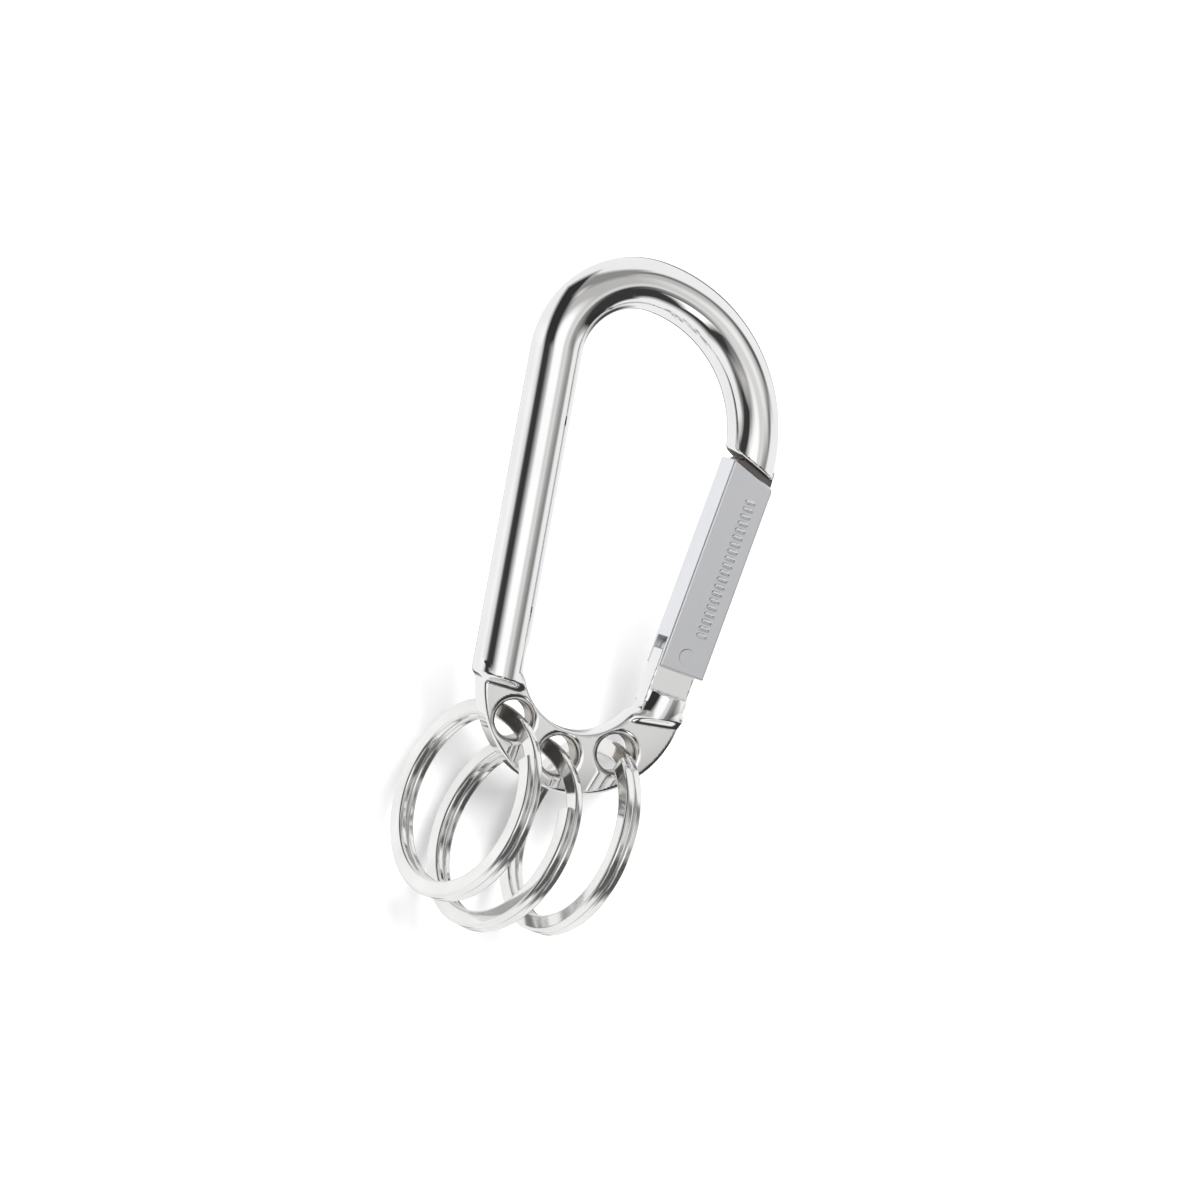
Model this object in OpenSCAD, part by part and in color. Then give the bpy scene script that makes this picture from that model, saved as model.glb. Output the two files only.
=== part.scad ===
// Key-ring carabiner: a round bar bent into a D, milled flat at the foot to
// hold three split rings, and closed by a sprung gate.
// The origin is the top of the loop's inside, where the hook hangs.
// +Z runs up along the spine, +X towards the gate, and the front faces -Y.

/* [Bar] */
// Diameter of the round bar
bar_d = 7.8; // [7:0.1:8.4]
// Radius of the tight shoulder over the spine, to the bar's centre line
shoulder_r = 11.95; // [11.5:0.05:12.5]
// Radius of the long sweep down to the gate, to the bar's centre line
sweep_r = 23.2; // [22.5:0.1:24]
// Angle above +X at which the shoulder turns into the sweep
crown_angle = 81; // [78:1:84]
// Lean of the gate side away from the spine, in degrees
gate_lean = 10.4; // [9.5:0.1:11.5]
// Depth below the origin at which the round spine ends in the foot
spine_end = 57.8; // [57:0.1:58.5]

/* [Foot] */
// Thickness of the flat foot
foot_t = 5; // [4.6:0.1:5.4]
// Radius of the foot's outer edge
foot_r = 16.1; // [15.8:0.1:16.4]
// Centre of the foot's outer edge, across from the origin
foot_x = 1.5; // [1.2:0.1:1.8]
// Depth of that centre below the origin
foot_depth = 57.1; // [56.5:0.1:57.5]
// Radius of the loop's rounded bottom, at the foot's faces
loop_r = 10.1; // [9.8:0.1:10.3]
// Centre of the loop's rounded bottom, across from the origin
loop_x = 1.35; // [1.2:0.05:1.5]
// Depth of that centre below the origin
loop_depth = 53.9; // [53.5:0.1:54.3]
// How far the loop's edge swells out at the middle of the foot's thickness
loop_swell = 0.35; // [0.2:0.05:0.5]
// Rounding of the foot's outer edges
foot_round = 0.9; // [0.5:0.1:1.2]
// Depth below the origin at which the neck steps down into the foot
neck_end = 60.1; // [59.6:0.1:60.5]
// Rounding in the corner of each step
step_round = 1.1; // [0.8:0.1:1.3]
// Fall of the spine's step towards the loop, in degrees
step_tilt = 7; // [0:1:8]

/* [Ring holes] */
// Radius of the circle that the holes lie on, round the loop's bottom
hole_circle_r = 13.9; // [13.6:0.1:14.1]
// Direction of the middle hole, from +X
hole_angle = -99; // [-102:1:-96]
// Angle from hole to hole
hole_pitch = 38; // [37:1:40]
// Diameter of each hole
hole_d = 5.7; // [5.6:0.05:5.8]
// Rounding of each hole's rims
hole_round = 1; // [0.8:0.1:1.1]

/* [Gate] */
// Width of the gate, seen from the front
gate_w = 7.5; // [7.3:0.1:7.7]
// Depth of the gate, front to back
gate_depth = 6; // [5.8:0.1:6.2]
// Wall left at each side of the gate's slots
gate_wall = 0.8; // [0.7:0.05:0.9]
// Length of the gate on its centre line, from the slanted top to the foot end
gate_len = 31.95; // [31.5:0.05:32.2]
// Slope of the gate's top end, falling towards the outside
gate_slant = 17.8; // [15:0.1:20]
// Height of the gate's top above the end of the bar's sweep
gate_rise = 2.15; // [2:0.05:2.4]
// Distance of the hinge pin from the sweep's end
hinge_drop = 27.2; // [27:0.1:27.5]
// Diameter of the hinge pin
pin_d = 2.4; // [2:0.1:2.6]
// Diameter of the spring's bore in the gate
bore_d = 3; // [2.8:0.1:3.2]
// How far the gate opens, in degrees
gate_open = 27; // [20:1:27]

/* [Tongues] */
// Thickness of the tongues that the gate's slots straddle
tongue_t = 4.2; // [4:0.05:4.25]
// How far the nose tongue reaches into the gate
nose_len = 6.4; // [5:0.1:7]
// Radius of the hinge tongue's round head
head_r = 2.75; // [2.6:0.05:2.8]
// Width of the hinge tongue's outer half
collar_out = 2.7; // [2.5:0.05:2.7]
// Diameter of the round neck that bends from the tongue into the foot
neck_d = 7.2; // [7:0.1:7.3]
// Lift of the plunger for each radian that the gate opens
cam_r = 1.1; // [0.9:0.05:1.15]

/* [Split rings] */
// Outer diameter of each ring
ring_d = 31.2; // [30:0.2:32]
// How far the wire passes above the middle of its hole
ring_lift = 0.25; // [0:0.05:0.3]
// Width of the ring's wire, across the ring
wire_w = 2.6; // [2.4:0.1:2.7]
// Thickness of the ring's wire, along the ring's axis
wire_t = 1.45; // [1.3:0.05:1.5]
// Rounding of the wire's edges
wire_round = 0.5; // [0.3:0.05:0.6]
// Half the arc in which the single wire crosses from coil to coil
cross_arc = 32; // [28:1:34]
// Turn of the three rings through their holes, in degrees
ring_turn = [8, 18, -12]; // [-30:1:30]
// Sideways lean of the three rings towards the spine, in degrees
ring_lean = [11, 15, 12]; // [0:0.5:16]
// Turn of the three rings about the vertical, in degrees
ring_yaw = [19, 18.5, 13]; // [10:0.5:20]
// Swing of the three rings to the back, in degrees
ring_swing = [15, 17, 11]; // [8:0.5:18]

/* [Hidden] */
$fn = 96;
eps = 0.01;
lap = 0.5;             // overlap of bent stretches, in degrees
reach = 60;            // longer than any cut has to be
bar_r = bar_d / 2;
shoulder_z = bar_r - shoulder_r;
centre_step = sweep_r - shoulder_r;
ball_depth = spine_end + 0.4;
sweep_x = -centre_step * cos(crown_angle);
sweep_z = shoulder_z - centre_step * sin(crown_angle);
// End of the sweep, where the gate side's straight axis begins
leg_x = sweep_x + sweep_r * cos(gate_lean);
leg_z = sweep_z - sweep_r * sin(gate_lean);
sweep_spare = 4;       // extra bend that the gate's gap cuts off, in degrees
// Fits and gaps
end_gap = 0.35;        // gate's top to the bar's shoulder
web_gap = 0.1;         // nose tongue to the gate's web
pin_gap = 0.04;        // hinge pin in the tongue's bore
plunger_gap = 0.04;    // plunger in its bore
tip_gap = 0.03;        // plunger's tip to the tongue's head
coil_gap = 0.1;        // spring in its bore
seat_gap = 0.02;       // spring to its seats
slot_spare = 1.2;      // below the nose tongue and above the hinge tongue
// Gate, measured along its own axis
slot_w = gate_depth - 2 * gate_wall;
gate_foot = gate_rise - gate_len;
web_foot = -hinge_drop + 1.9;        // web's end, clear of the head as it turns
collar_top = -hinge_drop - 0.1;      // tongue's wide outer half starts here
// Where the neck's bend begins, measured along the gate side's axis
neck_top = (leg_x - loop_x - (loop_r + neck_d / 2) * cos(gate_lean)) / -sin(gate_lean);
neck_arc = 45;
neck_lap = 1;          // tongue's reach into the neck
top_slot_floor = -nose_len - slot_spare;
hinge_slot_top = -hinge_drop + head_r + slot_spare;
bore_top = -11;
nose_round = 1;
nose_inset = 0.2;      // nose tongue's outer face behind the gate's
nose_root = 0.6;       // how far the nose tongue is sunk into the sweep
// Plunger and spring
plunger_len = 5;
plunger_head = 1;
stem_d = 1.5;
spring_wire = 0.4;
spring_turns = 7;
spring_sides = 6;
spring_steps = 14;
// Split rings, to the middle of the wire
mean_r = (ring_d - wire_w) / 2;
tip_z = -hinge_drop + head_r + tip_gap;

// Places its children on the gate side's axis: x outwards, z up along the gate
module on_leg() {
    translate([leg_x, 0, leg_z]) rotate([0, gate_lean, 0]) children();
}

// Turns a flat drawing in x and z, and gives it a thickness in y
module slab(thick) {
    rotate([90, 0, 0]) linear_extrude(thick, center = true) children();
}

// A cylinder that lies along y
module y_cylinder(r, h) {
    rotate([90, 0, 0]) cylinder(r = r, h = h, center = true);
}

// Everything below the gate's slanted top, moved up by lift
module below_slant(lift) {
    translate([0, 0, gate_rise + lift]) rotate([0, gate_slant, 0])
        translate([-reach / 2, -reach / 2, -reach]) cube(reach);
}

// Square whose corner at the origin is rounded
module rounded_corner_square(size, r) {
    difference() {
        square(size);
        square(r);
    }
    translate([r, r]) circle(r);
}

// Cuts one face of the bar down to the foot, below a step of the given width
module step_cutter(x, depth, width, tilt, side) {
    translate([x, side * foot_t / 2, -depth]) rotate([0, 90 + tilt, 0])
        linear_extrude(width, center = true) scale([1, side])
            rounded_corner_square(2 * bar_r, step_round);
}

// Disc of the foot, with rounded edges
module foot_disc() {
    translate([foot_x, 0, -foot_depth]) rotate([90, 0, 0]) rotate_extrude() {
        translate([0, -foot_t / 2]) square([foot_r - foot_round, foot_t]);
        translate([0, foot_round - foot_t / 2])
            square([foot_r, foot_t - 2 * foot_round]);
        for (side = [-1, 1])
            translate([foot_r - foot_round, side * (foot_t / 2 - foot_round)])
                circle(foot_round);
    }
}

// Cutter for the loop's rounded bottom, waisted so that the edge swells
module loop_cutter() {
    half = foot_t / 2 + 0.1;
    swell_r = (half * half + loop_swell * loop_swell) / (2 * loop_swell);
    translate([loop_x, 0, -loop_depth]) rotate([90, 0, 0]) rotate_extrude()
        difference() {
            translate([0, -bar_r]) square([loop_r, 2 * bar_r]);
            translate([loop_r - loop_swell + swell_r, 0]) circle(swell_r, $fn = 360);
        }
}

// Place of one of the three holes, counted from the spine
module at_hole(i) {
    a = hole_angle + (i - 1) * hole_pitch;
    translate([loop_x + hole_circle_r * cos(a), 0,
               hole_circle_r * sin(a) - loop_depth]) children();
}

// Cutter for a hole with rounded rims
module hole_cutter() {
    rim = foot_t / 2 - hole_round;
    y_cylinder(hole_d / 2, 2 * foot_t);
    rotate([90, 0, 0]) rotate_extrude() for (side = [-1, 1]) difference() {
        translate([0, side > 0 ? rim : -foot_t / 2])
            square([hole_d / 2 + hole_round, hole_round]);
        translate([hole_d / 2 + hole_round, side * rim]) circle(hole_round);
    }
}

// Outline of the hinge tongue's head, whose cam lifts the plunger evenly
module head_outline() {
    steps = 12;
    circle(head_r);
    polygon(concat([[0, 0], [0, head_r]], [for (i = [0:steps])
        let (a = gate_open * i / steps, lift = head_r + cam_r * a * PI / 180)
        [-lift * sin(a) - cam_r * cos(a), lift * cos(a) - cam_r * sin(a)]]));
}

// The shoulder is a hair thinner than the spine and the sweep it joins
module round_bar() {
    translate([0, 0, shoulder_z]) rotate([90, 0, 0])
        rotate([0, 0, crown_angle - lap]) rotate_extrude(angle = 180 - crown_angle + 2 * lap)
            translate([shoulder_r, 0]) circle(bar_r - eps);
    translate([-shoulder_r, 0, -ball_depth]) {
        cylinder(r = bar_r, h = ball_depth + shoulder_z);
        sphere(bar_r);
    }
}

// Sweep from the crown to the gate, cut off just clear of the gate's top
module sweep() {
    start = -gate_lean - sweep_spare;
    difference() {
        translate([sweep_x, 0, sweep_z]) rotate([90, 0, 0]) rotate([0, 0, start])
            rotate_extrude(angle = crown_angle - start) translate([sweep_r, 0]) circle(bar_r);
        on_leg() below_slant(end_gap);
    }
}

// Tongue that reaches down from the sweep into the gate's top slot
module nose_tongue() {
    r = nose_round;
    inner = -gate_w / 2 + gate_wall + web_gap;
    outer = gate_w / 2 - nose_inset;
    on_leg() slab(tongue_t) {
        translate([inner, r - nose_len]) square([outer - inner, nose_len + gate_rise + nose_root]);
        translate([inner + r, -nose_len]) square([outer - inner - 2 * r, 2 * r]);
        for (x = [inner + r, outer - r]) translate([x, r - nose_len]) circle(r);
    }
}

// Tongue that the gate is hinged on, from its round head down into the neck
module hinge_tongue() {
    on_leg() {
        translate([0, 0, -hinge_drop]) slab(tongue_t) head_outline();
        translate([-gate_w / 2, -tongue_t / 2, neck_top - neck_lap])
            cube([gate_w / 2 + collar_out, tongue_t, collar_top - neck_top + neck_lap]);
    }
}

// Round bar that bends round the loop, from the tongue down into the foot
module neck() {
    translate([loop_x, 0, -loop_depth]) rotate([90, 0, 0])
        rotate([0, 0, -neck_arc]) rotate_extrude(angle = neck_arc - gate_lean + 2 * lap)
            translate([loop_r + neck_d / 2, 0]) circle(d = neck_d);
}

// Flat foot round the loop's bottom, up to the two steps
module foot() {
    difference() {
        foot_disc();
        translate([-shoulder_r, -reach / 2, -loop_depth]) cube(reach);
        translate([-reach - shoulder_r, -reach / 2, -spine_end]) cube(reach);
        translate([foot_x, -reach / 2, -neck_end]) cube(reach);
        loop_cutter();
    }
}

module frame_bar() {
    color("gainsboro") difference() {
        union() {
            round_bar();
            sweep();
            nose_tongue();
            hinge_tongue();
            neck();
            foot();
        }
        for (side = [-1, 1]) {
            step_cutter(-shoulder_r, spine_end, 2 * bar_d, step_tilt, side);
            step_cutter(loop_x + foot_r, neck_end, 2 * foot_r, 0, side);
        }
        for (i = [0:2]) at_hole(i) hole_cutter();
        on_leg() translate([0, 0, -hinge_drop]) y_cylinder(pin_d / 2 + pin_gap, bar_d);
    }
}

module gate() {
    half = gate_w / 2;
    color("silver") on_leg() difference() {
        intersection() {
            translate([-half, -gate_depth / 2, gate_foot])
                cube([gate_w, gate_depth, gate_len + gate_w]);
            below_slant(0);
        }
        // Slot for the nose tongue, closed towards the loop by the web
        translate([-half + gate_wall, -slot_w / 2, top_slot_floor])
            cube([gate_w, slot_w, gate_len]);
        // Slot for the hinge tongue, open on both sides below the web's end
        translate([-half + gate_wall, -slot_w / 2, gate_foot - eps])
            cube([gate_w, slot_w, hinge_slot_top - gate_foot + eps]);
        translate([-gate_w, -slot_w / 2, gate_foot - eps])
            cube([2 * gate_w, slot_w, web_foot - gate_foot + eps]);
        translate([0, 0, -hinge_drop]) y_cylinder(pin_d / 2, bar_d);
        translate([0, 0, gate_foot]) cylinder(d = bore_d, h = bore_top - gate_foot);
    }
}

module hinge_pin() {
    color("silver") on_leg() translate([0, 0, -hinge_drop])
        y_cylinder(pin_d / 2, gate_depth);
}

module spring_plunger() {
    color("dimgray") on_leg() translate([0, 0, tip_z]) {
        cylinder(d = bore_d - 2 * plunger_gap, h = plunger_len - plunger_head);
        cylinder(d = stem_d, h = plunger_len + plunger_head);
    }
}

// Points round one section of the spring's wire, i steps along its coil
function spring_section(i, coil_r, rise) =
    let (a = 360 * i / spring_steps)
    [for (k = [0:spring_sides - 1])
        let (b = 360 * k / spring_sides, out = coil_r + spring_wire / 2 * cos(b))
        [out * cos(a), out * sin(a), rise * i + spring_wire / 2 * sin(b)]];

module gate_spring() {
    coil_r = bore_d / 2 - spring_wire / 2 - coil_gap;
    seat = tip_z + plunger_len - plunger_head + spring_wire / 2 + seat_gap;
    count = spring_turns * spring_steps;
    rise = (bore_top - spring_wire / 2 - seat_gap - seat) / count;
    points = [for (i = [0:count]) each spring_section(i, coil_r, rise)];
    sides = [for (i = [0:count - 1]) for (k = [0:spring_sides - 1])
        let (a = i * spring_sides + k, b = i * spring_sides + (k + 1) % spring_sides)
        [a, b, b + spring_sides, a + spring_sides]];
    last = count * spring_sides;
    color("gray") on_leg() translate([0, 0, seat])
        polyhedron(points, concat(sides,
            [[for (k = [spring_sides - 1:-1:0]) k]],
            [[for (k = [0:spring_sides - 1]) last + k]]), convexity = 10);
}

// Section of one coil's wire, at its distance from the ring's axis
module wire_section(trim = 0) {
    r = wire_round;
    w = wire_w - 2 * trim - 2 * r;
    t = wire_t - 2 * trim - 2 * r;
    translate([mean_r, 0]) {
        square([w + 2 * r, t], center = true);
        square([w, t + 2 * r], center = true);
        for (x = [-w, w] / 2) for (y = [-t, t] / 2) translate([x, y]) circle(r);
    }
}

// One wire wound twice round: two coils side by side, and the short slanted
// stretch that crosses from one to the other where the ring hangs
module split_ring(turn) {
    slope = asin(wire_t / 2 / (mean_r * sin(cross_arc)));
    ends = cross_arc + 2;
    translate([0, 0, ring_lift - mean_r]) rotate([0, 90, 0]) rotate([0, 0, 180 + turn]) {
        rotate([0, 0, cross_arc]) rotate_extrude(angle = 360 - 2 * cross_arc)
            for (side = [-1, 1]) translate([0, side * wire_t / 2]) wire_section();
        rotate([slope, 0, 0]) rotate([0, 0, -ends])
            rotate_extrude(angle = 2 * ends) wire_section(2 * eps);
    }
}

module hung_ring(i) {
    color("lightgray") at_hole(i)
        rotate([ring_swing[i], ring_lean[i], ring_yaw[i]]) split_ring(ring_turn[i]);
}

module ring_left() { hung_ring(0); }
module ring_middle() { hung_ring(1); }
module ring_right() { hung_ring(2); }

frame_bar();
gate();
hinge_pin();
gate_spring();
spring_plunger();
ring_left();
ring_middle();
ring_right();
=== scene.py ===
import math

import bpy
import numpy as np
from mathutils import Matrix, Vector


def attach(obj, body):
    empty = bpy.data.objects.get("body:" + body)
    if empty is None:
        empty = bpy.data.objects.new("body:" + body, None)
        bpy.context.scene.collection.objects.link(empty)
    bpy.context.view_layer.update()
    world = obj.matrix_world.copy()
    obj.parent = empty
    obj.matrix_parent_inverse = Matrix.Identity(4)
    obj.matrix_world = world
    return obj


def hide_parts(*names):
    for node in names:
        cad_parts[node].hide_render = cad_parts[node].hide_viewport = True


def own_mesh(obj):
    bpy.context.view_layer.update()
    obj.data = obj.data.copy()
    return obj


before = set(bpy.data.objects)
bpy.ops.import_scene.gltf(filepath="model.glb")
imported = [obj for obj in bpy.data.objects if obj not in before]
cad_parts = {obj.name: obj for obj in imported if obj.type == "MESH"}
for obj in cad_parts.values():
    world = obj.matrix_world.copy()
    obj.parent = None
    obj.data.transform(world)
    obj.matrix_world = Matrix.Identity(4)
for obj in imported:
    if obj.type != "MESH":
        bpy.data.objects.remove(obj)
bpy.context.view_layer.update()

MM = 0.001
# A distance beyond everything, and one deep inside everything, in millimetres
FAR, DEEP = 99.0, -99.0

# The bar, in millimetres in the frame of the CAD model
BAR_R = 3.9
SHOULDER_R = 11.95
SWEEP_R = 23.2
CROWN = math.radians(81)
LEAN = math.radians(10.4)
SPINE_X = -SHOULDER_R
SHOULDER_Z = BAR_R - SHOULDER_R
SWEEP_X = -(SWEEP_R - SHOULDER_R) * math.cos(CROWN)
SWEEP_Z = SHOULDER_Z - (SWEEP_R - SHOULDER_R) * math.sin(CROWN)
LEG_X = SWEEP_X + SWEEP_R * math.cos(LEAN)
LEG_Z = SWEEP_Z - SWEEP_R * math.sin(LEAN)
# The spine's line and the sweep's arc run on past where they are cut
SPINE_REACH = -66.0
SWEEP_PAST = 0.2
SEAM = 0.01

# The foot, its loop and its ring holes
FOOT_T = 5.0
FOOT_R = 16.1
FOOT_X, FOOT_Z = 1.5, -57.1
FOOT_ROUND = 0.55
FOOT_DOME = 0.003
LOOP_R = 10.1
LOOP_X, LOOP_Z = 1.35, -53.9
LOOP_SWELL = 0.35
SWELL_HALF = FOOT_T / 2 + 0.1
LOOP_ROUND = 0.45
LOOP_CUT_TOP = LOOP_Z + 2
TOE_END = -1.1
SPINE_END = -57.8
STEP_TILT = math.radians(7)
STEP_ROUND = 0.5
STEP_FILLET = 1.1
STEP_UP_LEFT, STEP_UP_RIGHT = 1.2, 0.6
HOLE_CIRCLE_R = 13.9
HOLE_ANGLES = [math.radians(a) for a in (-137, -99, -61)]
HOLE_R = 2.85
HOLE_ROUND = 1.05

# The neck, which bends round the loop from the foot to the gate's hinge
NECK_R = 3.6
NECK_BEND_R = LOOP_R + NECK_R
NECK_END = -60.1
NECK_TOP = -33.5
NECK_X = -0.17
NECK_BEND_END, NECK_LINE_END = -2.2, 1.2
NECK_LINE_LOW = NECK_TOP - 9
NECK_TOP_ROUND = 0.2
NECK_END_ROUND = 0.25

# The gate and its tongues, measured along the gate's own axis
GATE_W = 7.5
GATE_DEPTH = 6.0
GATE_WALL = 0.8
GATE_TOP = 2.15
GATE_FOOT = GATE_TOP - 31.95
GATE_SLANT = math.radians(17.8)
GATE_ROUND = 0.35
GATE_FOOT_ROUND = 0.3
GATE_GAP = 1.0
GATE_TOP_ROUND = 0.5
BAR_END_ROUND = 0.35
NEAR_GATE_X = -9
PIN_Z = -27.2
PIN_R = 1.2
PIN_GAP = 0.04
TONGUE_T = 4.2
TONGUE_ROUND = 0.15
TONGUE_ROOT = NECK_TOP - 2
TONGUE_FILLET = 0.3
NOSE_LEN = 6.4
NOSE_INSET = 0.2
NOSE_ROOT = GATE_TOP + 1.6
NOSE_ROUND = 0.8
NOSE_FILLET = 0.15
HEAD_R = 2.75
COLLAR_OUT = 2.7
COLLAR_TOP = PIN_Z - 0.1
COLLAR_ROUND = 0.2
CHEEK_OUT = 0.5
SLOT_ROUND = 0.15
SLOT_SPARE = 0.1
WEB_FOOT = PIN_Z + 1.9
TOP_SLOT_FLOOR = -NOSE_LEN - 1.2
HINGE_SLOT_TOP = PIN_Z + HEAD_R + 1.2
GATE_OPEN = math.radians(27)
CAM_R = 1.1
CAM_TIP_R = 1
CAM_STEPS = 6
DIMPLE_R = 1.2
DIMPLE_DEPTH = 0.16
DIMPLE_ROUND = 0.06
PIN_SKIN = 0.1

# The row of raised grip ticks on the gate's face
TICK_COUNT = 20
TICK_PITCH = 1.12
TICK_LOW = -23.9
TICK_X = 0.95
TICK_SIZE = (0.82, 0.27)
TICK_RISE = 0.28
TICK_ROUND = 0.14
TICK_FILLET = 0.08

# The split rings: (turn, lean, yaw, swing) in degrees, as in the CAD model
RINGS = {
    "ring_left": (8, 11, 19, 15),
    "ring_middle": (18, 15, 18.5, 17),
    "ring_right": (-12, 12, 13, 11),
}
RING_MEAN_R = 14.3
RING_LIFT = 0.25
WIRE_W, WIRE_T, WIRE_ROUND = 2.6, 1.45, 0.5
WIRE_BEVEL = 0.12
COIL_PITCH = WIRE_T * 1.01
CROSS_ARC = math.radians(32)
WIRE_STEPS = 440
CORNER_STEPS = 6


def round_max(a, b, r):
    """Distance to what two solids share, with their common edge rounded."""
    return np.minimum(-r, np.maximum(a, b)) + np.hypot(np.maximum(a + r, 0), np.maximum(b + r, 0))


def round_min(a, b, r):
    """Distance to two solids joined, with a fillet where they meet."""
    return -round_max(-a, -b, r)


def to_leg(p):
    """Points of the row frame as x, y, z on the gate's own axis."""
    x, z = p[0] - LEG_X, p[2] - LEG_Z
    c, s = math.cos(LEAN), math.sin(LEAN)
    return c * x - s * z, p[1], s * x + c * z


def box2(u, v, u0, u1, v0, v1, r):
    """Distance to a flat rectangle with rounded corners."""
    du = np.abs(u - (u0 + u1) / 2) - (u1 - u0) / 2 + r
    dv = np.abs(v - (v0 + v1) / 2) - (v1 - v0) / 2 + r
    outside = np.hypot(np.maximum(du, 0), np.maximum(dv, 0))
    return outside + np.minimum(np.maximum(du, dv), 0) - r


def slant(lx, lz, lift):
    """Height above the gate's slanted top, moved up by lift."""
    return (lx * math.sin(GATE_SLANT)) + (lz - GATE_TOP - lift) * math.cos(GATE_SLANT)


def path_distance(x, z):
    """Distance in the plane to the middle of the bent bar."""
    spine = np.hypot(x - SPINE_X, np.maximum(z - SHOULDER_Z, 0) + np.minimum(z - SPINE_REACH, 0))
    dx, dz = x, z - SHOULDER_Z
    on_shoulder = (np.arctan2(dz, dx) > CROWN) & (dz >= 0)
    shoulder = np.where(on_shoulder, np.abs(np.hypot(dx, dz) - SHOULDER_R), FAR)
    dx, dz = x - SWEEP_X, z - SWEEP_Z
    angle = np.arctan2(dz, dx)
    on_sweep = (angle <= CROWN + SEAM) & (angle > -LEAN - SWEEP_PAST)
    sweep = np.where(on_sweep, np.abs(np.hypot(dx, dz) - SWEEP_R), FAR)
    return np.minimum(np.minimum(spine, shoulder), sweep)


def bar_shape(p):
    """Signed distance to the frame bar, in millimetres."""
    x, y, z = p
    lx, ly, lz = to_leg(p)
    flat = np.abs(y) - FOOT_T / 2

    # The round bar, cut at the spine's step and at the gate's slanted top
    tube = np.hypot(path_distance(x, z), y) - BAR_R
    step_left = (x - SPINE_X) * math.sin(STEP_TILT) + (z - SPINE_END) * math.cos(STEP_TILT)
    above = round_max(tube, -step_left, STEP_ROUND)
    end_face = np.where(lx > NEAR_GATE_X, -slant(lx, lz, GATE_GAP), DEEP)
    above = round_max(above, end_face, BAR_END_ROUND)

    # The neck, which bends from the tongue into the foot
    dx, dz = x - LOOP_X, z - LOOP_Z
    angle = np.arctan2(dz, dx)
    bend = np.abs(np.hypot(dx, dz) - NECK_BEND_R)
    bend = np.where((angle < -LEAN) & (angle > NECK_BEND_END), bend, FAR)
    on_line = (angle >= -LEAN) & (angle < NECK_LINE_END) & (lz > NECK_LINE_LOW)
    straight = np.where(on_line, np.abs(lx - NECK_X), FAR)
    neck = np.hypot(np.minimum(bend, straight), y) - NECK_R
    neck = round_max(neck, lz - NECK_TOP, NECK_TOP_ROUND)
    neck = round_max(neck, NECK_END - z, NECK_END_ROUND)

    # The flat foot, with the loop's swelling edge
    top = np.where(x < LOOP_X, step_left - STEP_UP_LEFT, z - NECK_END - STEP_UP_RIGHT)
    disc = np.hypot(x - FOOT_X, z - FOOT_Z) - FOOT_R
    on_toe = (angle < 0) & (angle > TOE_END)
    toe = np.where(on_toe, np.hypot(dx, dz) - LOOP_R - 2 * NECK_R, FAR)
    outline = np.maximum(np.minimum(disc, toe), top)
    swell = LOOP_SWELL * (1 - (y / SWELL_HALF) ** 2)
    inside = LOOP_R - swell - np.hypot(dx, dz)
    pillow = FOOT_DOME * (np.hypot(dx, dz) - HOLE_CIRCLE_R) ** 2
    foot = round_max(flat + pillow, outline, FOOT_ROUND)
    solid = round_min(np.minimum(above, neck), foot, STEP_FILLET)
    solid = round_max(solid, np.where(z < LOOP_CUT_TOP, inside, DEEP), LOOP_ROUND)
    for a in HOLE_ANGLES:
        hx, hz = HOLE_CIRCLE_R * math.cos(a), HOLE_CIRCLE_R * math.sin(a)
        solid = round_max(solid, HOLE_R - np.hypot(dx - hx, dz - hz), HOLE_ROUND)

    # The nose tongue, and the hinge tongue with its cam
    inner = -GATE_W / 2 + GATE_WALL + SLOT_SPARE
    nose = box2(lx, lz, inner, GATE_W / 2 - NOSE_INSET, -NOSE_LEN, NOSE_ROOT, NOSE_ROUND)
    nose = round_max(nose, np.abs(ly) - TONGUE_T / 2, TONGUE_ROUND)
    solid = round_min(solid, nose, NOSE_FILLET)
    head = np.hypot(lx, lz - PIN_Z) - HEAD_R
    reach = HEAD_R - CAM_TIP_R
    for i in range(1, CAM_STEPS + 1):
        turn = GATE_OPEN * i / CAM_STEPS
        cam = np.hypot(lx + reach * math.sin(turn), lz - PIN_Z - reach * math.cos(turn))
        head = np.minimum(head, cam - CAM_TIP_R - CAM_R * turn)
    wide = box2(lx, lz, -GATE_W / 2, COLLAR_OUT, TONGUE_ROOT, COLLAR_TOP, COLLAR_ROUND)
    cheek = box2(lx, lz, -GATE_W / 2, CHEEK_OUT, TONGUE_ROOT, PIN_Z, COLLAR_ROUND)
    tongue = np.minimum(np.minimum(head, wide), cheek)
    tongue = round_max(tongue, np.abs(ly) - TONGUE_T / 2, TONGUE_ROUND)
    solid = round_min(solid, tongue, TONGUE_FILLET)
    return np.maximum(solid, PIN_R + PIN_GAP - np.hypot(lx, lz - PIN_Z))


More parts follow.
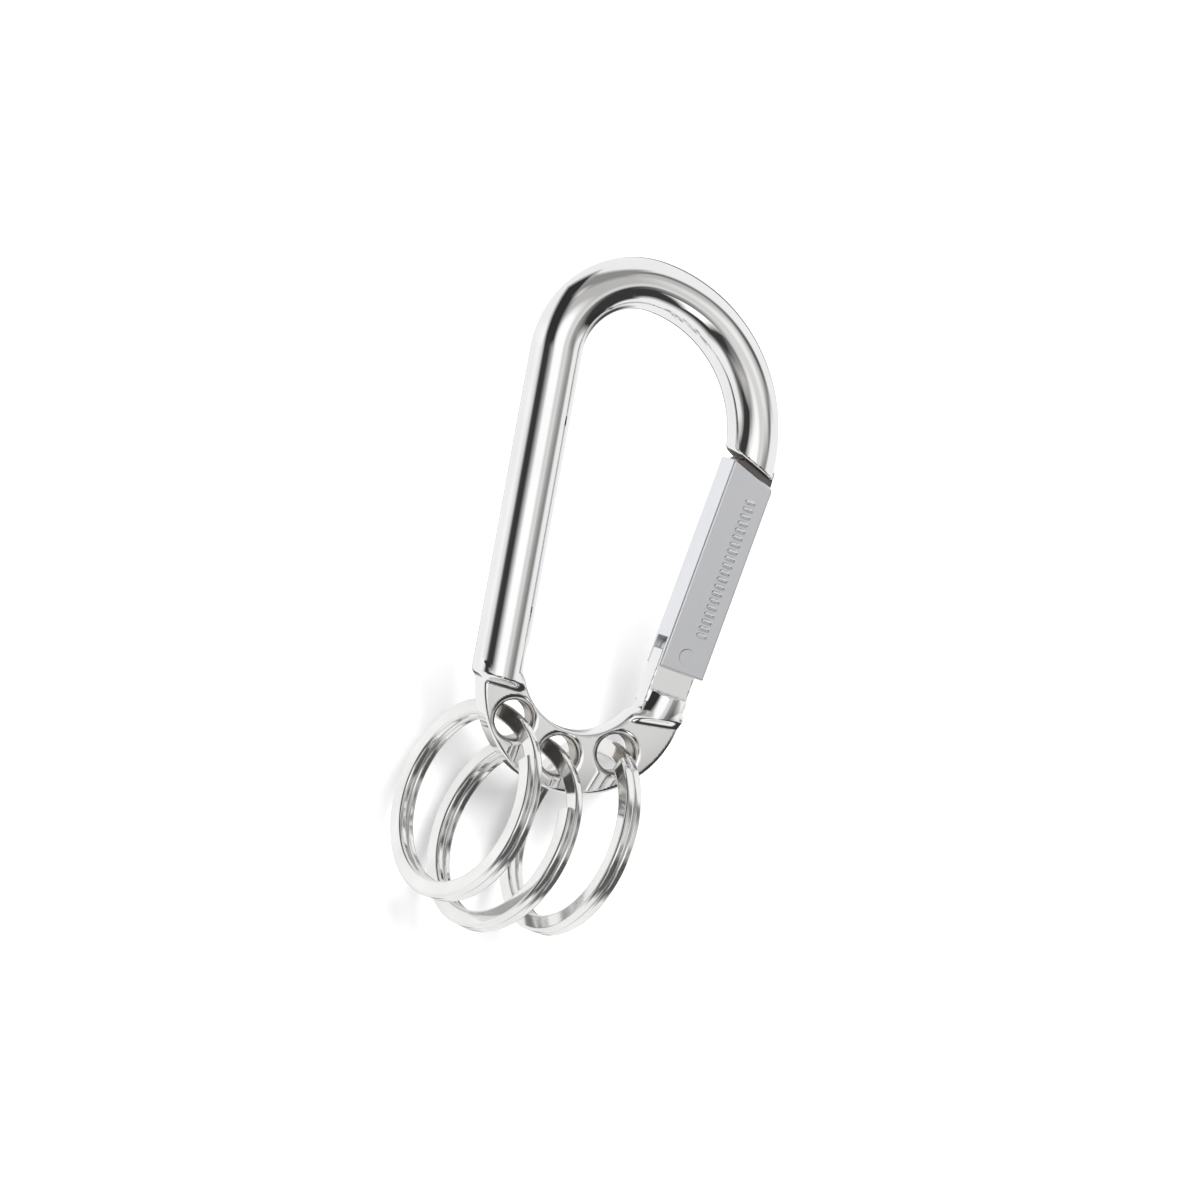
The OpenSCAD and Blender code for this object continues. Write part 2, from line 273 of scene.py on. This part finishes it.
def gate_shape(p):
    """Signed distance to the gate, on its own axis, in millimetres."""
    lx, ly, lz = p
    face = GATE_DEPTH / 2
    body = box2(lx, ly, -GATE_W / 2, GATE_W / 2, -face, face, GATE_ROUND)
    body = round_max(body, slant(lx, lz, 0), GATE_TOP_ROUND)
    body = round_max(body, GATE_FOOT - lz, GATE_FOOT_ROUND)

    # The ticks on the front, each a short bar with round ends
    half_len, half_wide = TICK_SIZE
    ticks = np.full(lx.shape, FAR)
    for i in range(TICK_COUNT):
        middle = TICK_LOW + (i + 0.5) * TICK_PITCH
        past_end = np.maximum(np.abs(lx - TICK_X) - half_len + half_wide, 0)
        ticks = np.minimum(ticks, np.hypot(past_end, lz - middle) - half_wide)
    ticks = round_max(ticks, np.abs(ly) - face - TICK_RISE, TICK_ROUND)
    body = round_min(body, np.maximum(ticks, ly), TICK_FILLET)

    # The slots for the nose tongue and for the hinge tongue
    across = np.abs(ly) - (face - GATE_WALL)
    sideways = np.maximum(across, -GATE_W / 2 + GATE_WALL - lx)
    top_slot = np.maximum(sideways, TOP_SLOT_FLOOR - lz)
    hinge_slot = np.maximum(sideways, lz - HINGE_SLOT_TOP)
    web_slot = np.maximum(across, lz - WEB_FOOT)
    body = round_max(body, -top_slot, SLOT_ROUND)
    body = round_max(body, -np.minimum(hinge_slot, web_slot), SLOT_ROUND)

    # A shallow dimple over the pin, deeper on its left, and the pin's bore behind it
    from_pin = np.hypot(lx, lz - PIN_Z)
    dimple = np.maximum(from_pin - DIMPLE_R, ly + face - DIMPLE_DEPTH * (1 - lx / DIMPLE_R) / 2)
    body = round_max(body, -dimple, DIMPLE_ROUND)
    skin = ly < DIMPLE_DEPTH + PIN_SKIN - face
    return np.maximum(body, np.where(skin, DEEP, PIN_R - from_pin))


# Steps that pull each vertex onto the surface, and the least squared gradient they trust
PROJECTIONS = 4
FLATTEST = 0.2


def surface(shape, low, high, cell):
    """Vertices, normals and quads on the zero surface of a distance function."""
    axes = [np.arange(a, b + cell, cell) for a, b in zip(low, high)]
    value = shape(np.meshgrid(*axes, indexing="ij", sparse=False))
    cells = tuple(n - 1 for n in value.shape)
    total = np.zeros(cells + (3,))
    count = np.zeros(cells, int)
    crossings = []
    for axis in range(3):
        a = np.moveaxis(value, axis, 0)[:-1]
        b = np.moveaxis(value, axis, 0)[1:]
        crossed = (a < 0) != (b < 0)
        where = np.moveaxis(crossed, 0, axis)
        part = np.where(crossed, a / np.where(crossed, a - b, 1), 0)
        part = np.moveaxis(part, 0, axis)
        crossings.append((where, np.moveaxis(a < 0, 0, axis)))
        others = [k for k in range(3) if k != axis]
        for du in (0, 1):
            for dv in (0, 1):
                cut = [slice(None)] * 3
                cut[others[0]] = slice(du, du + cells[others[0]])
                cut[others[1]] = slice(dv, dv + cells[others[1]])
                hit, share = where[tuple(cut)], part[tuple(cut)]
                count += hit
                total[..., axis] += share * hit
                total[..., others[0]] += du * hit
                total[..., others[1]] += dv * hit
    active = count > 0
    index = np.full(cells, -1)
    index[active] = np.arange(active.sum())
    spots = np.argwhere(active) + total[active] / count[active][:, None]
    points = spots * cell + np.array(low)
    quads = []
    for axis in range(3):
        where, inward = crossings[axis]
        u, v = [(1, 2), (2, 0), (0, 1)][axis]
        keep = [slice(None)] * 3
        keep[u] = slice(1, -1)
        keep[v] = slice(1, -1)
        at = np.argwhere(where[tuple(keep)])
        at[:, u] += 1
        at[:, v] += 1
        flip = inward[tuple(at.T)]
        corners = []
        for du, dv in ((0, 0), (-1, 0), (-1, -1), (0, -1)):
            c = at.copy()
            c[:, u] += du
            c[:, v] += dv
            corners.append(index[tuple(c.T)])
        quad = np.stack(corners, 1)
        quad[~flip] = quad[~flip][:, ::-1]
        quads.append(quad)
    for _ in range(PROJECTIONS):
        gradient = slope(shape, points)
        step = shape(points.T) / np.maximum((gradient ** 2).sum(1), FLATTEST)
        step = np.clip(step, -cell / 2, cell / 2)
        points = points - gradient * step[:, None]
    normals = slope(shape, points)
    normals /= np.maximum(np.linalg.norm(normals, axis=1, keepdims=True), 1e-9)
    return points, normals, np.concatenate(quads)


def slope(shape, points, h=0.01):
    """Gradient of a distance function at the points."""
    out = np.zeros_like(points)
    for axis in range(3):
        d = np.zeros(3)
        d[axis] = h
        out[:, axis] = (shape((points + d).T) - shape((points - d).T)) / (2 * h)
    return out


def mesh_object(name, points, faces, normals=None, loop_normals=None):
    """A smooth mesh object from millimetre points, with its own normals."""
    mesh = bpy.data.meshes.new(name)
    mesh.from_pydata((np.asarray(points) * MM).tolist(), [], [list(map(int, f)) for f in faces])
    mesh.shade_smooth()
    if normals is not None:
        mesh.normals_split_custom_set_from_vertices(normals.tolist())
    if loop_normals is not None:
        mesh.normals_split_custom_set(loop_normals)
    obj = bpy.data.objects.new(name, mesh)
    bpy.context.scene.collection.objects.link(obj)
    return obj


def add_piece(obj, body, replaced, material):
    """Puts a new piece on its body, in place of the CAD node that it stands for."""
    obj.data.materials.append(material)
    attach(obj, body)
    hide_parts(replaced)


# ---------------------------------------------------------------- materials

# The part of a noise's range that the materials use
NOISE_LOW, NOISE_HIGH = 0.3, 0.7


class Nodes:
    """Short names for what is made in a node tree."""

    def __init__(self, tree):
        self.tree = tree

    def add(self, kind, values=(), **settings):
        node = self.tree.nodes.new(kind)
        for name, value in settings.items():
            setattr(node, name, value)
        for socket, value in zip(node.inputs, values):
            if hasattr(value, "is_output"):
                self.tree.links.new(value, socket)
            else:
                socket.default_value = value
        return node

    def math(self, operation, *values, clamp=False):
        return self.add("ShaderNodeMath", values, operation=operation, use_clamp=clamp).outputs[0]

    def vector(self, operation, *values, output="Vector"):
        return self.add("ShaderNodeVectorMath", values, operation=operation).outputs[output]

    def dot(self, source, axis):
        return self.vector("DOT_PRODUCT", source, tuple(axis), output="Value")

    def mix(self, share, low, high):
        return self.math("MULTIPLY_ADD", share, self.math("SUBTRACT", high, low), low)

    def place(self):
        """Where a point lies on its object."""
        return self.add("ShaderNodeTexCoord").outputs["Object"]

    def noise(self, scale, detail):
        """Noise fixed to the object."""
        node = self.add("ShaderNodeTexNoise")
        node.inputs["Scale"].default_value = scale
        node.inputs["Detail"].default_value = detail
        self.tree.links.new(self.place(), node.inputs["Vector"])
        return node.outputs["Fac"]

    def spread(self, source, low, high, from_low=NOISE_LOW, from_high=NOISE_HIGH):
        """Maps a value onto a range of numbers, and stops at its ends."""
        return self.add("ShaderNodeMapRange", (source, from_low, from_high, low, high)).outputs[0]

    def tint(self, source, dark, light):
        """Maps a noise value onto a range of colours."""
        node = self.add("ShaderNodeValToRGB", (source,))
        for stop, at, colour in zip(node.color_ramp.elements, (NOISE_LOW, NOISE_HIGH), (dark, light)):
            stop.position = at
            stop.color = (*colour, 1)
        return node.outputs["Color"]


def new_material(name):
    """A node material, its nodes and its shader."""
    made = bpy.data.materials.new(name)
    made.use_nodes = True
    return made, Nodes(made.node_tree), made.node_tree.nodes["Principled BSDF"]


def metal(name, dark, light, rough, patch, grain, depth, metallic=1):
    """Metal with cloudy colour and gloss, and fine grain in its surface."""
    made, nodes, shader = new_material(name)
    shader.inputs["Metallic"].default_value = metallic
    clouds, fine = nodes.noise(patch, 3), nodes.noise(grain, 4)
    both = nodes.math("MULTIPLY_ADD", fine, 0.5, nodes.math("MULTIPLY", clouds, 0.5))
    bump = nodes.add("ShaderNodeBump")
    bump.inputs["Strength"].default_value = 1
    bump.inputs["Distance"].default_value = depth
    nodes.tree.links.new(fine, bump.inputs["Height"])
    nodes.tree.links.new(nodes.tint(clouds, dark, light), shader.inputs["Base Color"])
    nodes.tree.links.new(nodes.spread(both, *rough), shader.inputs["Roughness"])
    nodes.tree.links.new(bump.outputs["Normal"], shader.inputs["Normal"])
    return made


def paint_light_where(made, mask, rough, colour):
    """Gives part of a metal another gloss, and multiplies its colour there, which paints shade or a
    highlight into it.
    """
    nodes, shader = Nodes(made.node_tree), made.node_tree.nodes["Principled BSDF"]
    gloss, base = shader.inputs["Roughness"], shader.inputs["Base Color"]
    shade = nodes.add("ShaderNodeMix", data_type="RGBA", blend_type="MULTIPLY")
    factor, under, over = shade.inputs[0], shade.inputs[6], shade.inputs[7]
    over.default_value = (*colour, 1)
    nodes.tree.links.new(mask, factor)
    nodes.tree.links.new(base.links[0].from_socket, under)
    nodes.tree.links.new(shade.outputs[2], base)
    nodes.tree.links.new(nodes.mix(mask, gloss.links[0].from_socket, rough), gloss)


def near_axis(nodes, x, z, inner, outer):
    """1 within the inner radius of an axis along Y, 0 beyond the outer, in millimetres."""
    flat = nodes.vector("MULTIPLY", nodes.place(), (1, 0, 1))
    apart = nodes.vector("DISTANCE", flat, (x * MM, 0, z * MM), output="Value")
    return nodes.spread(apart, 1, 0, inner * MM, outer * MM)


def near_plane(nodes, normal, middle, inner, outer):
    """1 within the inner distance of a plane, 0 beyond the outer, in millimetres."""
    apart = nodes.math("SUBTRACT", nodes.dot(nodes.place(), normal), middle * MM)
    return nodes.spread(nodes.math("ABSOLUTE", apart), 1, 0, inner * MM, outer * MM)


def in_front(nodes, low, high):
    """0 up to one distance towards the front, 1 beyond the other, in millimetres."""
    y = nodes.add("ShaderNodeSeparateXYZ", (nodes.place(),)).outputs["Y"]
    return nodes.spread(y, 0, 1, -low * MM, -high * MM)


polished = metal("polished_chrome", (0.83, 0.83, 0.83), (0.88, 0.88, 0.885), (0.02, 0.06),
                 90, 2500, 2e-7)
satin = metal("satin_plate", (0.82, 0.83, 0.86), (0.87, 0.88, 0.91), (0.28, 0.42),
              140, 4200, 4e-6)
ring_metal = metal("nickel_wire", (0.76, 0.755, 0.74), (0.86, 0.86, 0.855), (0.03, 0.12),
                   120, 2600, 1e-6, metallic=0.965)
spring_metal = metal("spring_steel", (0.34, 0.34, 0.35), (0.45, 0.45, 0.46), (0.25, 0.4),
                     200, 3000, 2e-6)

# The ring holes and the gap over the gate are dulled and darkened with painted shade, and the tick
# tops are rubbed bright and lightened with a painted highlight: where each mark fades, in
# millimetres, and its roughness and what it multiplies the colour by
HOLE_FADE = (HOLE_R + 0.02, HOLE_R + 0.4)
HOLE_PAINTED_SHADE = (0.2, (0.5, 0.47, 0.43))
GAP_FADE = (GATE_GAP / 2 - 0.05, GATE_GAP / 2 + 0.05)
GAP_REACH = (5.5, 6.5)
GAP_PAINTED_SHADE = (0.3, (0.22, 0.2, 0.19))
TICK_FADE = (GATE_DEPTH / 2 + 0.05, GATE_DEPTH / 2 + 0.15)
TICK_WEAR_AND_HIGHLIGHT = (0.27, (1.15, 1.15, 1.13))

chrome = Nodes(polished.node_tree)
# Painted shade in each ring hole: the chrome there is darker and duller
for hole_angle in HOLE_ANGLES:
    hole_x = LOOP_X + HOLE_CIRCLE_R * math.cos(hole_angle)
    hole_z = LOOP_Z + HOLE_CIRCLE_R * math.sin(hole_angle)
    paint_light_where(polished, near_axis(chrome, hole_x, hole_z, *HOLE_FADE), *HOLE_PAINTED_SHADE)

# Painted shade on the tongue in the gap over the gate's slanted top
gap_normal = (math.sin(GATE_SLANT + LEAN), 0, math.cos(GATE_SLANT + LEAN))
gap_middle = (LEG_X * gap_normal[0] + LEG_Z * gap_normal[2]
              + (GATE_TOP + GATE_GAP / 2) * math.cos(GATE_SLANT))
in_gap = near_plane(chrome, gap_normal, gap_middle, *GAP_FADE)
at_gate = near_axis(chrome, LEG_X, LEG_Z + GATE_TOP, *GAP_REACH)
paint_light_where(polished, chrome.math("MULTIPLY", in_gap, at_gate), *GAP_PAINTED_SHADE)

# The tick tops are rubbed bright and lightened with a painted highlight
paint_light_where(satin, in_front(Nodes(satin.node_tree), *TICK_FADE), *TICK_WEAR_AND_HIGHLIGHT)

# ---------------------------------------------------------------- the bar and the gate

# The space each surface is found in, and the size of its cells
BAR_GRID = ((-16.6, -4.4, -74.0), (26.6, 4.4, 8.5), 0.27)
GATE_GRID = ((-4.1, -3.5, -30.3), (4.1, 3.4, 4.2), 0.14)

bar_points, bar_normals, bar_faces = surface(bar_shape, *BAR_GRID)
bar = mesh_object("polished_bar", bar_points, bar_faces, normals=bar_normals)
add_piece(bar, "frame", "frame_bar", polished)

leg_turn = np.array(Matrix.Rotation(LEAN, 3, "Y"))
gate_points, gate_normals, gate_faces = surface(gate_shape, *GATE_GRID)
gate_points = gate_points @ leg_turn.T + np.array([LEG_X, 0, LEG_Z])
gate = mesh_object("satin_gate", gate_points, gate_faces, normals=gate_normals @ leg_turn.T)
add_piece(gate, "gate", "gate", satin)

# ---------------------------------------------------------------- the split rings


def wire_profile(shrink=0.0):
    """Points and normals round the wire's section: out from the ring, and along its axis."""
    points, normals = [], []
    half_w, half_t = WIRE_W / 2 - WIRE_ROUND, WIRE_T / 2 - WIRE_ROUND
    radius = WIRE_ROUND - shrink
    for corner, (u, v) in enumerate(((1, 1), (-1, 1), (-1, -1), (1, -1))):
        for k in range(CORNER_STEPS + 1):
            a = math.radians(90 * (corner + k / CORNER_STEPS))
            normal = (math.cos(a), math.sin(a))
            points.append((u * half_w + radius * normal[0], v * half_t + radius * normal[1]))
            normals.append(normal)
    return np.array(points), np.array(normals)


def wire_mesh():
    """One wire wound nearly twice round, crossing smoothly from coil to coil."""
    theta = np.linspace(CROSS_ARC, 4 * math.pi - CROSS_ARC, WIRE_STEPS)
    crossing = np.clip((theta - 2 * math.pi + CROSS_ARC) / (2 * CROSS_ARC), 0, 1)
    rise = COIL_PITCH * (crossing ** 3 * (6 * crossing ** 2 - 15 * crossing + 10) - 0.5)
    full, direction = wire_profile()
    small, _ = wire_profile(WIRE_BEVEL)
    bevel_arc = WIRE_BEVEL / RING_MEAN_R
    stations = [(theta[0] - bevel_arc, rise[0], small)]
    stations += [(t, z, full) for t, z in zip(theta, rise)]
    stations.append((theta[-1] + bevel_arc, rise[-1], small))
    points, normals = [], []
    axial = np.array([0, 0, 1.0])
    for t, z, section in stations:
        radial = np.array([math.cos(t), math.sin(t), 0])
        centre = radial * RING_MEAN_R + axial * z
        points.append(centre + section[:, :1] * radial + section[:, 1:] * axial)
        normals.append(direction[:, :1] * radial + direction[:, 1:] * axial)
    normals = np.concatenate(normals)

    # The wire's sides, then its two ends
    around = len(full)
    faces, loops = [], []
    for i in range(len(stations) - 1):
        for k in range(around):
            n = (k + 1) % around
            quad = ((i + 1) * around + k, (i + 1) * around + n, i * around + n, i * around + k)
            faces.append(quad)
            loops.extend(normals[j] for j in quad)
    for i, sense in ((0, -1), (len(stations) - 1, 1)):
        t = stations[i][0]
        end = sense * np.array([-math.sin(t), math.cos(t), 0])
        cap = [i * around + k for k in range(around)]
        faces.append(cap if sense < 0 else cap[::-1])
        loops.extend(end for _ in cap)
    return np.concatenate(points), faces, np.array(loops)


def ring_place(angle, turn, lean, yaw, swing):
    """Turn and place of a ring, from its own axis into the row frame."""
    hole = Vector((LOOP_X + HOLE_CIRCLE_R * math.cos(angle), 0,
                   LOOP_Z + HOLE_CIRCLE_R * math.sin(angle)))
    hang = (Matrix.Rotation(math.radians(yaw), 4, "Z") @ Matrix.Rotation(math.radians(lean), 4, "Y")
            @ Matrix.Rotation(math.radians(swing), 4, "X"))
    return (Matrix.Translation(hole) @ hang @ Matrix.Translation((0, 0, RING_LIFT - RING_MEAN_R))
            @ Matrix.Rotation(math.radians(90), 4, "Y")
            @ Matrix.Rotation(math.radians(180 + turn), 4, "Z"))


wire_points, wire_faces, wire_loops = wire_mesh()
for (node, pose), hole_angle in zip(RINGS.items(), HOLE_ANGLES):
    place = np.array(ring_place(hole_angle, *pose))
    turned = wire_points @ place[:3, :3].T + place[:3, 3]
    ring = mesh_object(node + "_wire", turned, wire_faces, loop_normals=wire_loops @ place[:3, :3].T)
    add_piece(ring, node, node, ring_metal)

# ---------------------------------------------------------------- pin, spring and plunger

for node, material in (("hinge_pin", satin), ("spring_plunger", spring_metal)):
    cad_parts[node].data.materials.clear()
    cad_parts[node].data.materials.append(material)

# The spring is a copy of the CAD's own coil, carried by the gate
spring = bpy.data.objects.new("closing_spring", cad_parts["gate_spring"].data.copy())
bpy.context.scene.collection.objects.link(spring)
spring.data.materials.clear()
add_piece(spring, "gate", "gate_spring", spring_metal)
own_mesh(spring)

# ---------------------------------------------------------------- camera

AZIMUTH, ELEVATION, ROLL = (math.radians(a) for a in (-19.5, 3.0, 10.4))
AIM = (-6.106, -43.35)
DISTANCE = 0.995

back = Vector((math.sin(AZIMUTH) * math.cos(ELEVATION), -math.cos(AZIMUTH) * math.cos(ELEVATION),
               math.sin(ELEVATION)))
level = Vector((math.cos(AZIMUTH), math.sin(AZIMUTH), 0))
raised = back.cross(level)
image_x = level * math.cos(ROLL) + raised * math.sin(ROLL)
image_y = raised * math.cos(ROLL) - level * math.sin(ROLL)
aim = (image_x * AIM[0] + image_y * AIM[1]) * MM
camera = bpy.data.objects.new("camera", bpy.data.cameras.new("camera"))
camera.data.lens = 200
camera.data.sensor_width = 36
camera.data.clip_start = 0.01
camera.data.clip_end = 20
camera.matrix_world = Matrix.Translation(aim + back * DISTANCE) @ Matrix(
    (image_x, image_y, back)).transposed().to_4x4()
bpy.context.scene.collection.objects.link(camera)
bpy.context.scene.camera = camera

# ---------------------------------------------------------------- stage and light

# The studio round the object, in degrees from the camera's axis to its right and up:
# soft-edged panels (x, y, half width, half height, turn, softness, brightness), each laid
# over those before it
ROOM = 0.98
ELLIPSES = [
    (23, -1, 71, 46, 20, 8, 0.18),
    (4, 8, 84, 30, 5, 6, 0.56),
    (-17, -8, 60, 13, -27, 31, 1.25),
]
PANELS = [
    (-38, 43, 44, 23, 91, 15, 0.035),
    (-33, -10, 13, 26, 47, 10, 0.045),
    (19, -43, 30, 23, -13, 17, 0.045),
    (73, -52, 31, 19, -40, 14, 0.035),
    (53, -47, 17, 30, 3, 10, 0.045),
    (18, -38, 4, 11, -41, 5, 1.5),
    (9, 52, 28, 14, -21, 10, 0.31),
]
GLOWS = [
    (84, 19, 7, 17, 36, 26, 0.076),
    (9, -2, 13, 22, 56, 14, 1.16),
    (38, -12, 7, 5, 0, 8, 0.78),
]
BANDS = [
    (56, 2, 11, 14, 6, 17, 0.98),
    (65, -23, 14, 3, -16, 15, 0.48),
    (0, -26, 11, 5, 22, 10, 0.56),
]
# How much red, green and blue the studio's middle tones lose, which makes them warm
MIDTONE_LOSS = (0.0, 0.04, 0.11)
# Dark spots behind the object, which its back reflects, in degrees from the camera:
# (azimuth, elevation, half angle)
SPOTS = [(145, -27, 17), (-173, -13, 14), (168, 18, 13)]
SPOT_EDGE = 16
SPOT_LIGHT = 0.06
# The largest cosine whose angle is taken, short of 1
LIMIT = 0.99999


def panel_share(nodes, x, y, panel, round_edge):
    """How much of the view a soft-edged panel covers, from 0 to 1."""
    x0, y0, half_u, half_v, turn, soft, _ = panel
    c, s = math.cos(math.radians(turn)), math.sin(math.radians(turn))
    dx, dy = nodes.math("SUBTRACT", x, x0), nodes.math("SUBTRACT", y, y0)
    u = nodes.math("MULTIPLY_ADD", dx, c, nodes.math("MULTIPLY", dy, s))
    v = nodes.math("MULTIPLY_ADD", dy, c, nodes.math("MULTIPLY", dx, -s))
    if round_edge:
        u, v = nodes.math("DIVIDE", u, half_u), nodes.math("DIVIDE", v, half_v)
        square = nodes.math("MULTIPLY_ADD", u, u, nodes.math("MULTIPLY", v, v))
        beyond = nodes.math("MULTIPLY", nodes.math("SUBTRACT", nodes.math("SQRT", square), 1), half_v)
    else:
        u, v = nodes.math("ABSOLUTE", u), nodes.math("ABSOLUTE", v)
        beyond = nodes.math("MAXIMUM", nodes.math("SUBTRACT", u, half_u),
                            nodes.math("SUBTRACT", v, half_v))
    return nodes.math("MULTIPLY_ADD", beyond, -1 / soft, 0.5, clamp=True)


def studio():
    """World whose panels are what the polished bar reflects, on plain white."""
    world = bpy.data.worlds.new("studio")
    world.use_nodes = True
    tree = world.node_tree
    nodes = Nodes(tree)
    way = nodes.add("ShaderNodeTexCoord").outputs["Generated"]
    ahead = nodes.math("MINIMUM", nodes.math("MAXIMUM", nodes.dot(way, back), -LIMIT), LIMIT)
    angle = nodes.math("ARCCOSINE", ahead)
    scale = nodes.math("MULTIPLY", nodes.math("DIVIDE", angle, nodes.math("SINE", angle)),
                       math.degrees(1))
    x = nodes.math("MULTIPLY", nodes.dot(way, image_x), scale)
    y = nodes.math("MULTIPLY", nodes.dot(way, image_y), scale)
    light = ROOM
    for panels, round_edge in ((ELLIPSES, True), (PANELS, False), (GLOWS, True), (BANDS, False)):
        for panel in panels:
            light = nodes.mix(panel_share(nodes, x, y, panel, round_edge), light, panel[-1])
    for azimuth, elevation, half in SPOTS:
        a, e = math.radians(azimuth) + AZIMUTH, math.radians(elevation)
        toward = (math.sin(a) * math.cos(e), -math.cos(a) * math.cos(e), math.sin(e))
        edge = math.cos(math.radians(half))
        share = nodes.math("MULTIPLY_ADD", nodes.dot(way, toward), SPOT_EDGE,
                           0.5 - SPOT_EDGE * edge, clamp=True)
        light = nodes.mix(share, light, SPOT_LIGHT)
    seen = nodes.add("ShaderNodeLightPath").outputs["Is Camera Ray"]
    light = nodes.mix(seen, light, 1.0)
    middle = nodes.math("MULTIPLY", light, nodes.math("SUBTRACT", 1, light), clamp=True)
    shares = [nodes.math("MULTIPLY_ADD", middle, -loss, 1) for loss in MIDTONE_LOSS]
    colour = nodes.add("ShaderNodeCombineColor", [nodes.math("MULTIPLY", light, s) for s in shares])
    tree.links.new(colour.outputs[0], tree.nodes["Background"].inputs["Color"])
    return world


# The backdrop, in metres: its wall leans away above where the rings hang
WALL_GAP = 0.024
WALL_TOP = 0.9
WALL_SLOPE = 0.9
SLOPE_FROM = -0.07
FLOOR_Z = -0.20
CURVE_R = 0.05
CURVE_STEPS = 12
STAGE_REACH = 1.6


def backdrop():
    """A pale wall close behind the object that curves down into a pale floor."""
    toward = Vector((math.sin(AZIMUTH), -math.cos(AZIMUTH), 0))
    across = Vector((math.cos(AZIMUTH), math.sin(AZIMUTH), 0))
    profile = [(-WALL_GAP, WALL_TOP), (-WALL_GAP, SLOPE_FROM), (-WALL_GAP, FLOOR_Z + CURVE_R)]
    for i in range(1, CURVE_STEPS + 1):
        a = math.radians(90 * i / CURVE_STEPS)
        profile.append((CURVE_R * (1 - math.cos(a)) - WALL_GAP,
                        FLOOR_Z + CURVE_R * (1 - math.sin(a))))
    profile.append((STAGE_REACH, FLOOR_Z))
    points = []
    for out, z in profile:
        out -= WALL_SLOPE * max(0, z - SLOPE_FROM)
        for side in (-STAGE_REACH, STAGE_REACH):
            points.append(toward * out + across * side + Vector((0, 0, z)))
    faces = [(2 * i, 2 * i + 2, 2 * i + 3, 2 * i + 1) for i in range(len(profile) - 1)]
    mesh = bpy.data.meshes.new("backdrop")
    mesh.from_pydata(points, [], faces)
    mesh.shade_smooth()
    obj = bpy.data.objects.new("backdrop", mesh)
    bpy.context.scene.collection.objects.link(obj)

    # Pale from the front, and clear from behind
    made, nodes, shader = new_material("backdrop")
    shader.inputs["Base Color"].default_value = (0.86, 0.86, 0.865, 1)
    shader.inputs["Roughness"].default_value = 1
    shader.inputs["Specular IOR Level"].default_value = 0
    clear = nodes.add("ShaderNodeBsdfTransparent").outputs[0]
    behind = nodes.add("ShaderNodeNewGeometry").outputs["Backfacing"]
    mix = nodes.add("ShaderNodeMixShader")
    for source, socket in zip((behind, shader.outputs[0], clear), mix.inputs):
        nodes.tree.links.new(source, socket)
    nodes.tree.links.new(mix.outputs[0], nodes.tree.nodes["Material Output"].inputs["Surface"])
    mesh.materials.append(made)
    obj.visible_glossy = False


def soft_light(name, across, up, size, distance, energy):
    """A square soft light, aimed at the object, kept out of its reflections.

    It stands so many degrees to the camera's right and up, in metres, and shines in watts.
    """
    u, v = math.radians(across), math.radians(up)
    toward = (back * math.cos(u) * math.cos(v) + image_x * math.sin(u) * math.cos(v)
              + image_y * math.sin(v))
    data = bpy.data.lights.new(name, "AREA")
    data.size = size
    data.energy = energy
    lamp = bpy.data.objects.new(name, data)
    lamp.location = aim + toward * distance
    lamp.rotation_mode = "QUATERNION"
    lamp.rotation_quaternion = toward.to_track_quat("Z", "Y")
    lamp.visible_glossy = False
    bpy.context.scene.collection.objects.link(lamp)


scene = bpy.context.scene
scene.world = studio()
scene.view_settings.view_transform = "Standard"
backdrop()
soft_light("key_light", 17, 13, 0.42, 1.2, 21.5)
